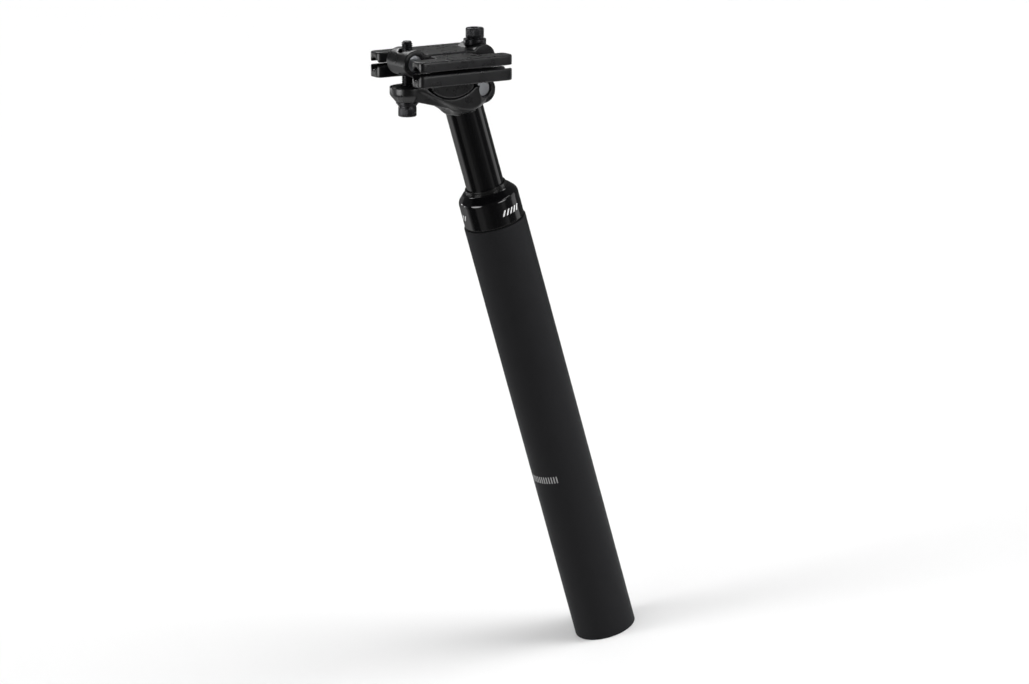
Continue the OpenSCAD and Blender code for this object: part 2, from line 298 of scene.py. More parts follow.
class Shader:
    """A Principled material with procedural colour, roughness and bump."""

    def __init__(self, name, metallic=0.0, specular=0.5):
        self.material = bpy.data.materials.new(name)
        self.material.use_nodes = True
        self.tree = self.material.node_tree
        self.principled = self.tree.nodes["Principled BSDF"]
        self.principled.inputs["Metallic"].default_value = metallic
        self.principled.inputs["Specular IOR Level"].default_value = specular
        self.place = self.tree.nodes.new("ShaderNodeTexCoord").outputs["Object"]
        self.height = None

    def node(self, kind, **settings):
        made = self.tree.nodes.new(kind)
        for key, value in settings.items():
            setattr(made, key, value)
        return made

    def link(self, source, target):
        self.tree.links.new(source, target)

    def math(self, operation, *values):
        """Math node of numbers and sockets."""
        made = self.node("ShaderNodeMath", operation=operation)
        for socket, value in zip(made.inputs, values):
            if isinstance(value, (int, float)):
                socket.default_value = value
            else:
                self.link(value, socket)
        return made.outputs[0]

    def noise(self, grain, detail, stretch=(1, 1, 1)):
        """Noise whose grains are about this many metres across; a small stretch makes them long."""
        scaled = self.node("ShaderNodeMapping")
        scaled.inputs["Scale"].default_value = stretch
        self.link(self.place, scaled.inputs["Vector"])
        made = self.node("ShaderNodeTexNoise")
        made.inputs["Scale"].default_value = 1 / grain
        made.inputs["Detail"].default_value = detail
        self.link(scaled.outputs["Vector"], made.inputs["Vector"])
        return made.outputs["Fac"]

    def ramp(self, value, low, high, low_out, high_out):
        """Carries the range from low to high to the range from low_out to high_out."""
        made = self.node("ShaderNodeMapRange")
        ends = {"From Min": low, "From Max": high, "To Min": low_out, "To Max": high_out}
        for key, number in ends.items():
            made.inputs[key].default_value = number
        self.link(value, made.inputs["Value"])
        return made.outputs["Result"]

    def mix(self, fac, a, b):
        """Colour a where fac is 0 and b where it is 1; each is an RGB tuple or a socket."""
        made = self.node("ShaderNodeMix", data_type="RGBA")
        self.link(fac, made.inputs["Factor"])
        for socket, value in ((made.inputs[6], a), (made.inputs[7], b)):
            if isinstance(value, tuple):
                socket.default_value = (*value, 1)
            else:
                self.link(value, socket)
        return made.outputs[2]

    def colour(self, value):
        self.link(value, self.principled.inputs["Base Color"])

    def print_over(self, mask, colour):
        """Prints a plain colour over the material's own where the mask is 1."""
        under = self.principled.inputs["Base Color"].links[0].from_socket
        self.colour(self.mix(mask, under, colour))

    def rough(self, value):
        self.link(value, self.principled.inputs["Roughness"])

    def bump(self, height, depth):
        """Adds a bump of this many metres from a 0 to 1 height; later bumps add to earlier ones."""
        made = self.node("ShaderNodeBump")
        made.inputs["Strength"].default_value = 1.0
        made.inputs["Distance"].default_value = depth
        self.link(height, made.inputs["Height"])
        if self.height is not None:
            self.link(self.height, made.inputs["Normal"])
        self.height = made.outputs["Normal"]
        self.link(self.height, self.principled.inputs["Normal"])


def gloss_black(name):
    """Polished black anodising: deep black, faint cloudiness and hairlines."""
    s = Shader(name)
    cloud = s.noise(9 * MM, 4)
    s.colour(s.mix(cloud, (0.0014, 0.0014, 0.0016), (0.0024, 0.0024, 0.0027)))
    hair = s.noise(0.7 * MM, 2, (1, 1, 0.03))
    s.rough(s.ramp(hair, 0.35, 0.75, 0.045, 0.085))
    s.bump(s.noise(2.5 * MM, 2), 0.0015 * MM)
    return s


def matte_black(name):
    """Bead-blasted and anodised tube: fine even grain, dark grey in soft light."""
    s = Shader(name, specular=0.08)
    cloud = s.noise(14 * MM, 4)
    grain = s.noise(0.22 * MM, 2)
    base = s.mix(cloud, (0.0072, 0.0073, 0.0079), (0.0096, 0.0097, 0.0105))
    s.colour(s.mix(s.ramp(grain, 0.45, 0.75, 0, 0.3), base, (0.024, 0.024, 0.026)))
    s.rough(s.ramp(cloud, 0.3, 0.7, 0.50, 0.60))
    s.bump(grain, 0.012 * MM)
    return s


def satin_black(name):
    """Satin black over a shot-blasted forging: soft pits and slightly worn high spots."""
    s = Shader(name, specular=0.38)
    cloud = s.noise(6 * MM, 4)
    s.colour(s.mix(cloud, (0.0030, 0.0030, 0.0033), (0.0060, 0.0060, 0.0065)))
    s.rough(s.ramp(cloud, 0.3, 0.7, 0.24, 0.36))
    s.bump(s.noise(0.45 * MM, 3), 0.014 * MM)
    return s


def black_steel(name):
    """Black oxide on steel: dark metal with a soft sheen."""
    s = Shader(name, metallic=0.6)
    cloud = s.noise(2.2 * MM, 4)
    s.colour(s.mix(cloud, (0.008, 0.008, 0.009), (0.017, 0.017, 0.019)))
    s.rough(s.ramp(cloud, 0.3, 0.7, 0.20, 0.32))
    s.bump(s.noise(0.2 * MM, 2), 0.004 * MM)
    return s


def bright_metal(name, tint, low=0.22, high=0.36):
    """Turned or plated metal with fine tool marks around its axis."""
    s = Shader(name, metallic=1.0)
    cloud = s.noise(4 * MM, 4)
    marks = s.noise(0.12 * MM, 2, (0.05, 0.05, 1))
    s.colour(s.mix(cloud, tint, tuple(0.82 * c for c in tint)))
    s.rough(s.ramp(cloud, 0.3, 0.7, low, high))
    s.bump(marks, 0.003 * MM)
    return s


def rubber(name, tone, low, high, specular=0.4, grain_depth=0.006 * MM):
    """Moulded rubber: satin, with a faint bloom."""
    s = Shader(name, specular=specular)
    cloud = s.noise(2.5 * MM, 4)
    s.colour(s.mix(cloud, (tone, tone, tone), (1.7 * tone,) * 3))
    s.rough(s.ramp(cloud, 0.3, 0.7, low, high))
    s.bump(s.noise(0.3 * MM, 2), grain_depth)
    return s


def plastic(name, tint, low=0.38, high=0.5):
    """Moulded or turned plastic with slight mottling."""
    s = Shader(name, specular=0.45)
    cloud = s.noise(3 * MM, 3)
    s.colour(s.mix(cloud, tint, tuple(0.85 * c for c in tint)))
    s.rough(s.ramp(cloud, 0.3, 0.7, low, high))
    s.bump(s.noise(0.25 * MM, 2), 0.005 * MM)
    return s


def printed_bars(s, mid_z, radius):
    """Mask of short slanted bars printed around the collar in three groups; 1 on the bars."""
    count, pitch, duty, tall, slant = 5, 2.4 * MM, 0.4, 3.2 * MM, 0.55
    half_group, start = TURN / 6, math.radians(78)
    split = s.node("ShaderNodeSeparateXYZ")
    s.link(s.place, split.inputs[0])
    turn = s.math("ADD", s.math("ARCTAN2", split.outputs["Y"], split.outputs["X"]), start)
    around = s.math("MULTIPLY", s.math("WRAP", turn, half_group, -half_group), radius)
    rise = s.math("SUBTRACT", split.outputs["Z"], mid_z)
    lean = s.math("SUBTRACT", around, s.math("MULTIPLY", rise, slant))
    along = s.math("ADD", s.math("DIVIDE", lean, pitch), count / 2)
    inside = s.math("MULTIPLY", s.math("GREATER_THAN", along, 0),
                    s.math("LESS_THAN", along, count))
    bar = s.math("LESS_THAN", s.math("FRACT", along), duty)
    level = s.math("LESS_THAN", s.math("ABSOLUTE", rise), tall / 2)
    return s.math("MULTIPLY", s.math("MULTIPLY", inside, bar), level)


def printed_limit(s, low, high, half_arc, radius):
    """Mask of a hatched band across the back of a tube, between two heights; 1 on the hatching."""
    pitch, duty = 1.6 * MM, 0.45
    split = s.node("ShaderNodeSeparateXYZ")
    s.link(s.place, split.inputs[0])
    back = s.math("MULTIPLY", split.outputs["X"], -1)
    around = s.math("MULTIPLY", s.math("ARCTAN2", split.outputs["Y"], back), radius)
    level = s.math("MULTIPLY", s.math("GREATER_THAN", split.outputs["Z"], low),
                   s.math("LESS_THAN", split.outputs["Z"], high))
    inside = s.math("LESS_THAN", s.math("ABSOLUTE", around), half_arc)
    bar = s.math("LESS_THAN", s.math("FRACT", s.math("DIVIDE", around, pitch)), duty)
    return s.math("MULTIPLY", s.math("MULTIPLY", inside, bar), level)


BLACK_GLOSS = gloss_black("gloss_black")
SHAFT_GLOSS = gloss_black("shaft_black")
TUBE_MATTE = matte_black("matte_black")
FORGED_BLACK = satin_black("satin_black")
BOLT_BLACK = black_steel("bolt_black")
PLATED = bright_metal("plated_steel", (0.40, 0.41, 0.43), 0.34, 0.48)
TURNED = bright_metal("turned_aluminium", (0.72, 0.73, 0.75), 0.25, 0.4)
SPRING_WIRE = bright_metal("spring_wire", (0.26, 0.27, 0.29), 0.3, 0.45)
WIPER_RUBBER = rubber("wiper_rubber", 0.004, 0.07, 0.12, 0.5, 0.002 * MM)
SEAL_RUBBER = rubber("seal_rubber", 0.004, 0.55, 0.7, 0.15)
ACETAL = plastic("acetal", (0.72, 0.70, 0.62))
DARK_NYLON = plastic("dark_nylon", (0.03, 0.03, 0.033))
AMBER_NYLON = plastic("amber_nylon", (0.55, 0.42, 0.22))
ELASTOMER = plastic("amber_elastomer", (0.50, 0.30, 0.06), 0.3, 0.42)
ADJUSTER = bright_metal("black_adjuster", (0.05, 0.05, 0.055), 0.3, 0.42)


# ---------------------------------------------------------------- pieces

def thread_ring(radius, depth, z, pitch):
    """Outline points of one thread groove that starts at z; a depth below 0 cuts inwards."""
    return [(radius, z, 0), (radius + depth, z + 0.4 * pitch, 0), (radius, z + 0.8 * pitch, 0)]


def outer_tube():
    """Straight tube with rounded mouths and the preload thread inside its lower end."""
    depth, thread_top, thread_end, lead_in = 0.5 * MM, 34 * MM, 2 * MM, 0.6 * MM
    outline = [(BORE_R + lead_in, 0, 0.3 * MM), (TUBE_R, 0, 0.5 * MM),
               (TUBE_R, TUBE_TOP, 0.35 * MM), (BORE_R, TUBE_TOP, 0.3 * MM),
               (BORE_R, thread_top + PLUG_PITCH, 0)]
    z = thread_top
    while z > thread_end:
        outline += thread_ring(BORE_R, depth, z, -PLUG_PITCH)
        z -= PLUG_PITCH
    outline.append((BORE_R, thread_end / 2, 0))
    add_crisp_piece(lathe("outer_tube", outline), "lower", "lower_tube",
                    TUBE_MATTE)


def collar_nut():
    """Gloss collar: threaded spigot, groove for the O-ring, conical shoulder, seat for the wiper."""
    lo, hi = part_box("collar")
    outer, corner, slope, corner_steps = hi.y, 3.8 * MM, math.radians(42), 12
    seam, seat = top("collar_o_ring"), bottom("wiper_seal")
    wiper_r = half_width("wiper_seal")
    mouth, seat_r, edge_r = SHAFT_R + 0.4 * MM, wiper_r + 0.05 * MM, wiper_r + 1.1 * MM
    spigot, groove_r = BORE_R - 0.05 * MM, BORE_R + 0.2 * MM
    pitch, depth, plain = 1.25 * MM, 0.45 * MM, 2 * MM
    outline = [(mouth, lo.z, 0.2 * MM), (spigot, lo.z, 0.6 * MM)]
    z = lo.z + plain
    while z < TUBE_TOP - plain:
        outline += thread_ring(spigot, -depth, z, pitch)
        z += pitch
    outline += [(spigot, TUBE_TOP, 0), (groove_r, TUBE_TOP, 0), (groove_r, seam, 0),
                (outer, seam, 0.25 * MM)]
    cone_r = outer - corner * (1 - math.cos(slope))
    cone_z = hi.z - (cone_r - edge_r) / math.tan(slope)
    corner_z = cone_z - corner * math.sin(slope)
    for i in range(corner_steps + 1):
        a = slope * i / corner_steps
        outline.append((outer - corner * (1 - math.cos(a)), corner_z + corner * math.sin(a), 0))
    outline += [(edge_r, hi.z, 0.6 * MM), (seat_r, hi.z, 0.15 * MM), (seat_r, seat, 0),
                (mouth, seat, 0.1 * MM)]
    add_crisp_piece(lathe("collar_nut", outline, 0), "lower", "collar",
                    BLACK_GLOSS)


def seam_ring():
    """O-ring that fills the groove between the tube and the collar."""
    lo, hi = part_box("collar_o_ring")
    r, steps = (hi.z - lo.z) / 2, 16
    angles = [TURN * i / steps for i in range(steps)]
    outline = [(hi.y - r + r * math.cos(a), lo.z + r + r * math.sin(a), 0) for a in angles]
    add_piece(lathe("seam_ring", outline, 0), "lower", "collar_o_ring", SEAL_RUBBER)


def wiper_ring():
    """Rubber wiper: a bead above the collar, a step in, a rounded rim and a lip that hugs the shaft."""
    lo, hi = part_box("wiper_seal")
    lip, outer, high = SHAFT_R + 0.05 * MM, hi.y, hi.z
    bead = top("collar") + 0.75 * MM
    outline = [
        (lip + 0.5 * MM, lo.z, 0.1 * MM), (outer, lo.z, 0.1 * MM), (outer, bead, 0.25 * MM),
        (outer - 0.45 * MM, bead + 0.05 * MM, 0.15 * MM), (outer - 0.55 * MM, high, 0.5 * MM),
        (lip + 0.45 * MM, high, 0.12 * MM), (lip + 0.35 * MM, high - 0.5 * MM, 0.1 * MM),
        (lip + 0.1 * MM, high - 0.55 * MM, 0.05 * MM), (lip, high - 0.8 * MM, 0.05 * MM),
        (lip, high - 1.3 * MM, 0.1 * MM), (lip + 0.5 * MM, high - 2.0 * MM, 0.2 * MM)]
    add_crisp_piece(lathe("wiper_ring", outline), "lower", "wiper_seal",
                    WIPER_RUBBER)


def sliding_shaft():
    """Polished shaft with four pockets for the anti-rotation keys."""
    lo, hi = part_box("shaft")
    outline = [(SHAFT_BORE, lo.z), (SHAFT_R, lo.z), (SHAFT_R, hi.z), (SHAFT_BORE, hi.z)]
    mesh = lathe("sliding_shaft", outline, 0.4 * MM)
    keys, key_wide = 4, 3 * MM
    key_in_r, key_out_r = SHAFT_R - 1.1 * MM, SHAFT_R + 1 * MM
    keys_lo, keys_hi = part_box("guide_keys")
    size = Matrix.Diagonal((key_out_r - key_in_r, key_wide, keys_hi.z - keys_lo.z, 1))
    spot = Matrix.Translation(((key_in_r + key_out_r) / 2, 0, (keys_lo.z + keys_hi.z) / 2))
    for number in range(keys):
        box = bmesh.new()
        bmesh.ops.create_cube(box, size=1)
        box.transform(Matrix.Rotation(number * TURN / keys, 4, "Z") @ spot @ size)
        cutter = bpy.data.meshes.new("pocket")
        box.to_mesh(cutter)
        box.free()
        mesh = cut_away(mesh, cutter)
    add_crisp_piece(mesh, "upper", "shaft", SHAFT_GLOSS)


def hexagon(across):
    """Radius of a hexagon as a function of the angle, from its width across flats."""
    sector = TURN / 6
    return lambda a: across / 2 / math.cos((a + sector / 2) % sector - sector / 2)


def hex_corner(across):
    """Distance from a hexagon's centre to its corners."""
    return across / 2 / math.cos(TURN / 12)


def thread_stations(radius, high, low, pitch, depth, steps=6):
    """Stations of a helical thread that winds down from one height to another."""
    flank = 0.8              # share of the pitch that the two flanks take; the rest is the crest
    stations = []
    for i in range(int((high - low) / pitch * steps)):
        z = high - i * pitch / steps

        def groove(a, z=z):
            phase = (z / pitch - a / TURN) % 1.0
            return radius - depth * max(0.0, 1 - abs(2 * phase - 1) / flank)

        stations.append((groove, z))
    return stations


def socket_screw(name, seat, direction, length, body, node):
    """Socket-head screw: hexagon socket, knurled head, fillet, shank and a helical M6 thread."""
    head_r, head_h, shank_r = 5 * MM, SCREW_HEAD, 2.98 * MM
    hex_across, hex_deep = 5 * MM, 3 * MM
    pitch, depth, ridges = 1 * MM, 0.55 * MM, 40
    knurl_top, knurl_foot = head_h - 0.6 * MM, 1.1 * MM
    thread_top, thread_end = -8 * MM, -length + 0.8 * MM

    def knurl(inset):
        return lambda a: head_r - inset - 0.11 * MM * (1 - abs(math.cos(a * ridges / 2)))

    stations = [
        (0.8 * MM, head_h - hex_deep), (hexagon(hex_across), head_h - hex_deep),
        (hexagon(hex_across), head_h - 0.30 * MM),
        (hex_corner(hex_across) * 1.03, head_h), (head_r - 0.75 * MM, head_h),
        (head_r - 0.40 * MM, head_h - 0.06 * MM), (head_r - 0.18 * MM, head_h - 0.22 * MM),
        (knurl(0.02 * MM), head_h - 0.50 * MM)]
    stations += [(knurl(0), knurl_top + (knurl_foot - knurl_top) * i / 4) for i in range(5)]
    stations += [
        (head_r - 0.15 * MM, 0.85 * MM), (head_r - 0.15 * MM, 0.20 * MM), (head_r - 0.35 * MM, 0),
        (shank_r + 0.12 * MM, 0), (shank_r, -0.15 * MM), (shank_r, thread_top + 0.3 * MM)]
    stations += thread_stations(shank_r, thread_top, thread_end, pitch, depth)
    core = shank_r - depth
    stations += [(core, -length + 0.55 * MM), (core - 0.08 * MM, -length + 0.15 * MM),
                 (core - 0.33 * MM, -length)]
    mesh = shaped(name, stations, place=upright_place(seat, direction))
    add_crisp_piece(mesh, body, node, BOLT_BLACK)


def at_height(point, height):
    """The place on the upright line through a point that is this far along UPRIGHT."""
    return point + UPRIGHT * (height - point.dot(UPRIGHT))


def clamp_screws():
    """Rear bolt hangs head down under the arm; front bolt stands head up on the clamp."""
    low, high = reach("rear_bolt", UPRIGHT)
    socket_screw("rear_clamp_bolt", at_height(REAR_NUT, low + SCREW_HEAD), -UPRIGHT,
                 high - low - SCREW_HEAD, "upper", "rear_bolt")
    low, high = reach("front_bolt", UPRIGHT)
    socket_screw("front_clamp_bolt", at_height(FRONT_AXIS, high - SCREW_HEAD), UPRIGHT,
                 high - low - SCREW_HEAD, "front_screw", "front_bolt")


def stepped_washer():
    """Turned washer with a wider flange, between the arm and the rear bolt's head."""
    low, high = reach("rear_washer", UPRIGHT)
    tall, hole, boss_r, flange_r = high - low, 3.1 * MM, 5.4 * MM, 6.2 * MM
    outline = [(hole, 0), (boss_r, 0, 0.35 * MM), (boss_r, tall / 2, 0.1 * MM),
               (flange_r, tall / 2, 0.3 * MM), (flange_r, tall, 0.2 * MM), (hole, tall)]
    place = upright_place(at_height(REAR_NUT, low), UPRIGHT)
    mesh = lathe("stepped_washer", outline, 0.15 * MM, place)
    add_crisp_piece(mesh, "upper", "rear_washer", BOLT_BLACK)


def forged_pieces():
    """Head, cradle, clamp and the saddle-shaped front washer, with softened edges."""
    voxel, passes, fine_voxel, fine_passes = 0.45 * MM, 10, 0.16 * MM, 5
    for name, node, body, slot in (("forged_head", "head", "upper", "satin_black_forging"),
                                   ("lower_jaws", "lower_cradle", "cradle", "satin_black_clamp"),
                                   ("upper_jaws", "upper_clamp", "cradle", "satin_black_clamp")):
        add_piece(forging(name, node, voxel, passes), body, node, FORGED_BLACK)
    washer = forging("rolling_washer", "front_washer", fine_voxel, fine_passes)
    add_piece(washer, "front_screw", "front_washer", BOLT_BLACK)


def barrel_nut(name, node, body, centre):
    """Cylindrical cross nut with chamfered ends, and its bolt hole bored across."""
    radius, end, chamfer, hole_r, drill_reach = 4.5 * MM, 8 * MM, 0.5 * MM, 3.3 * MM, 6 * MM
    tip = 0.01 * MM
    outline = [(tip, -end), (radius, -end, chamfer), (radius, end, chamfer), (tip, end)]
    across = Matrix.Translation(centre) @ Matrix.Rotation(math.pi / 2, 4, "X")
    mesh = skin(name, [circle(r, z, 96) for r, z in soften(outline, 0, False)], place=across)
    drill = shaped("drill", [(hole_r, -drill_reach), (hole_r, drill_reach)], 64,
                   upright_place(centre, UPRIGHT))
    add_crisp_piece(cut_away(mesh, drill), body, node, PLATED)


def barrel_nuts():
    """Rear nut in the clamp and front nut in the head."""
    barrel_nut("rear_barrel_nut", "rear_nut", "rear_nut_body", REAR_NUT)
    low, high = reach("front_nut", UPRIGHT)
    barrel_nut("front_barrel_nut", "front_nut", "upper", at_height(FRONT_AXIS, (low + high) / 2))


def plug_socket(face):
    """Stations of a hexagon socket with a chamfered mouth in a face that looks down."""
    flats = hexagon(PLUG_KEY)
    return [(0.5 * MM, face + PLUG_SOCKET), (flats, face + PLUG_SOCKET), (flats, face + 0.6 * MM),
            (hex_corner(PLUG_KEY) + 0.5 * MM, face)]


def adjuster_plug():
    """Preload plug: hexagon socket below, thread around it, and a round nose on top."""
    lo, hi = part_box("preload_plug")
    outer, depth, body_top = hi.y, 0.45 * MM, lo.z + 20 * MM
    core, fillet, chamfer = outer - depth - 0.1 * MM, 0.3 * MM, 0.6 * MM
    stations = plug_socket(lo.z)
    stations += [(outer - 1.1 * MM, lo.z), (core, lo.z + 0.9 * MM)]
    stations += thread_stations(outer, body_top - 1 * MM, lo.z + 1 * MM, PLUG_PITCH, depth)[::-1]
    stations += [(core, body_top - 0.9 * MM), (outer - 1.1 * MM, body_top),
                 (NOSE_R + fillet, body_top), (NOSE_R, body_top + fillet),
                 (NOSE_R, hi.z - chamfer), (NOSE_R - chamfer, hi.z)]
    add_crisp_piece(shaped("adjuster_plug", stations), "adjuster", "preload_plug",
                    ADJUSTER)


def spring():
    """Coil spring in four lengths: closed end turns that keep their shape, and two active lengths.

    The bottom turn rides on the spring carrier, the top turn on the upper body, and both active lengths
    on the lower body, each with a mesh of its own.
    """
    lo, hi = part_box("main_spring")
    wire_r, coil_r, turns, low_turns = 1.98 * MM, 11 * MM, 14, 3
    ground = 0.5 * MM        # taken off each end of the spring, to make it flat
    steps, sides = 36, 18    # facets of a turn and of the wire
    low, high = lo.z + wire_r, hi.z - wire_r
    pitch = (high - low - 4 * wire_r) / (turns - 2)

    def height(t):
        """Height of the wire's middle after t turns."""
        if t < 1:
            return low + t * 2 * wire_r
        if t > turns - 1:
            return high - (turns - t) * 2 * wire_r
        return low + 2 * wire_r + (t - 1) * pitch

    def wire_point(t, b):
        """Place on the wire's skin after t turns, at angle b round the wire."""
        r, a = coil_r + wire_r * math.cos(b), TURN * t
        z = height(t) + wire_r * math.sin(b)
        return r * math.cos(a), r * math.sin(a), min(max(z, lo.z + ground), hi.z - ground)

    def length(name, first, last, body):
        rings = [[wire_point(first + i / steps, TURN * j / sides) for j in range(sides)]
                 for i in range((last - first) * steps + 1)]
        return add_piece(skin(name, rings), body, "main_spring", SPRING_WIRE)

    length("spring_bottom_turn", 0, 1, "spring_carrier")
    lower = length("spring_lower_coils", 1, low_turns, "lower")
    upper = length("spring_upper_coils", low_turns, turns - 1, "lower")
    length("spring_top_turn", turns - 1, turns, "upper")
    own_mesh(lower)
    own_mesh(upper)


def slider_bush():
    """Lower bush of the shaft, with grease grooves round its outside."""
    lo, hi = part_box("slider")
    wide, depth, count, edge, end_edge = 1.5 * MM, 0.5 * MM, 3, 0.1 * MM, 0.6 * MM
    outline = [(SHAFT_R, lo.z), (hi.y, lo.z, end_edge)]
    for i in range(count):
        z = lo.z + (hi.z - lo.z) * (i + 1) / (count + 1)
        outline += [(hi.y, z - wide / 2, edge), (hi.y - depth, z - wide / 4, edge),
                    (hi.y - depth, z + wide / 4, edge), (hi.y, z + wide / 2, edge)]
    outline += [(hi.y, hi.z, end_edge), (SHAFT_R, hi.z)]
    add_crisp_piece(lathe("slider_bush", outline), "upper", "slider", ACETAL)


def top_bumper():
    """Rounded rubber ring that softens the top-out."""
    lo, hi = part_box("top_out_bumper")
    round_r = 1.3 * MM
    outline = [(SHAFT_R, lo.z), (hi.y, lo.z, round_r), (hi.y, hi.z, round_r), (SHAFT_R, hi.z)]
    add_crisp_piece(lathe("top_bumper", outline), "upper", "top_out_bumper",
                    SEAL_RUBBER)


def foot_plug():
    """Plug in the shaft's lower end: spigot, flange, pilot for the spring and a hexagon socket."""
    lo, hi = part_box("shaft_foot")
    flange_r, flange_z, flange_top = hi.y, lo.z + 8 * MM, bottom("shaft")
    edge, chamfer = 0.4 * MM, 0.8 * MM
    stations = plug_socket(lo.z)
    stations += [
        (PILOT_R - 1.2 * MM, lo.z), (PILOT_R, lo.z + 1.4 * MM), (PILOT_R, flange_z),
        (flange_r - edge, flange_z), (flange_r, flange_z + edge), (flange_r, flange_top - edge),
        (flange_r - edge, flange_top), (SHAFT_BORE, flange_top), (SHAFT_BORE, hi.z - chamfer),
        (SHAFT_BORE - chamfer, hi.z)]
    add_crisp_piece(shaped("foot_plug", stations), "upper", "shaft_foot",
                    TURNED)


def spring_ends():
    """Washer above the spring and the seat below it, with a pocket for the adjuster's nose."""
    lo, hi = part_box("spring_washer")
    ring = [(PILOT_R, lo.z), (hi.y, lo.z), (hi.y, hi.z), (PILOT_R, hi.z)]
    add_crisp_piece(lathe("spring_top_washer", ring), "upper", "spring_washer",
                    AMBER_NYLON)
    lo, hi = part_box("spring_seat")
    pocket_r, pocket_top = NOSE_R + 0.05 * MM, hi.z - 2 * MM
    mouth, edge = 0.4 * MM, 0.5 * MM
    stations = [(0.2 * MM, pocket_top), (pocket_r, pocket_top), (pocket_r, lo.z + mouth),
                (pocket_r + mouth, lo.z), (hi.y - edge, lo.z), (hi.y, lo.z + edge),
                (hi.y, hi.z - edge), (hi.y - edge, hi.z)]
    add_crisp_piece(shaped("spring_base", stations), "spring_carrier", "spring_seat",
                    TURNED)


def spring_core():
    """Nylon guide rod inside the spring, and the ribbed elastomer bumper on top of it."""
    lo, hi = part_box("spring_guide")
    chamfer = 0.8 * MM
    stations = [(hi.y - chamfer, lo.z), (hi.y, lo.z + chamfer), (hi.y, hi.z - chamfer),
                (hi.y - chamfer, hi.z)]
    add_crisp_piece(shaped("guide_rod", stations), "spring_carrier", "spring_guide",
                    DARK_NYLON)
    lo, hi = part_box("bottom_bumper")
    ribs, waist, fullness, steps = 3, 1.3 * MM, 0.6, 36
    stations = []
    for i in range(steps + 1):
        wave = abs(math.sin(math.pi * ribs * i / steps)) ** fullness
        stations.append((hi.y - waist * (1 - wave), lo.z + (hi.z - lo.z) * i / steps))
    add_crisp_piece(shaped("core_bumper", stations), "spring_carrier", "bottom_bumper",
                    ELASTOMER)


def dress_cad_nodes():
    """Materials of the CAD nodes that are shown as they are."""
    dress(frame["nodes"]["guide_bushing"], ACETAL)
    dress(frame["nodes"]["guide_keys"], PLATED)


def print_marks():
    """Pale insertion limit on the back of the tube, and white bars round the collar."""
    limit_low, limit_high, half_arc = 100 * MM, 104 * MM, 15 * MM
    bars_z = TUBE_TOP + 7.8 * MM
    mask = printed_limit(TUBE_MATTE, limit_low, limit_high, half_arc, TUBE_R)
    TUBE_MATTE.print_over(mask, (0.24, 0.24, 0.24))
    mask = printed_bars(BLACK_GLOSS, bars_z, half_width("collar"))
    BLACK_GLOSS.print_over(mask, (0.50, 0.50, 0.50))


outer_tube()
collar_nut()
seam_ring()
wiper_ring()
sliding_shaft()
clamp_screws()
stepped_washer()
forged_pieces()
barrel_nuts()
adjuster_plug()
slider_bush()
top_bumper()
foot_plug()
spring_ends()
spring_core()
spring()
dress_cad_nodes()
print_marks()


# ---------------------------------------------------------------- stage, light and camera

def bearing(azimuth, elevation):
    """Unit vector at an azimuth round +Z from the part's right side, and an elevation, in degrees."""
    a, e = math.radians(azimuth), math.radians(elevation)
    return Vector((math.sin(a) * math.cos(e), -math.cos(a) * math.cos(e), math.sin(e)))


def camera():
    """Long lens at the photograph's angle, rolled so that the real vertical is upright."""
    distance, width, drop, far = 2.4, 0.572, 2 * MM, 50
    back = bearing(CAMERA_AZIMUTH, CAMERA_ELEVATION)
    low, high = cad_box
    target = (low + high) / 2 - Vector((0, 0, drop))
    right = UPRIGHT.cross(back).normalized()
    up = back.cross(right)
    data = bpy.data.cameras.new("camera")
    data.sensor_width = 36
    data.lens = data.sensor_width * distance / width
    data.clip_end = far
    eye = bpy.data.objects.new("camera", data)
    eye.matrix_world = Matrix.Translation(target + back * distance) @ Matrix(
        (right, up, back)).transposed().to_4x4()
    scene.collection.objects.link(eye)
    scene.camera = eye


def floor():
    """Wide pale floor under the tube's lower end."""
    half_wide, gap = 6, 0.05 * MM
    shape = bmesh.new()
    bmesh.ops.create_grid(shape, x_segments=2, y_segments=2, size=half_wide)
    mesh = bpy.data.meshes.new("floor")
    shape.to_mesh(mesh)
    shape.free()
    plane = bpy.data.objects.new("floor", mesh)
    plane.location.z = -gap
    scene.collection.objects.link(plane)
    material = bpy.data.materials.new("floor")
    material.use_nodes = True
    principled = material.node_tree.nodes["Principled BSDF"]
    principled.inputs["Base Color"].default_value = (0.93, 0.93, 0.93, 1)
    principled.inputs["Roughness"].default_value = 0.9
    mesh.materials.append(material)


def glowing(name, mesh):
    """Panel that only reflections see, so that the gloss has shapes to show.

    Gives back its node tree and emission node.
    """
    panel = bpy.data.objects.new(name, mesh)
    scene.collection.objects.link(panel)
    panel.visible_camera = False
    panel.visible_diffuse = False
    panel.visible_shadow = False
    panel.visible_transmission = False
    material = bpy.data.materials.new(name)
    material.use_nodes = True
    tree = material.node_tree
    tree.nodes.remove(tree.nodes["Principled BSDF"])
    glow = tree.nodes.new("ShaderNodeEmission")
    tree.links.new(glow.outputs[0], tree.nodes["Material Output"].inputs["Surface"])
    mesh.materials.append(material)
    return tree, glow


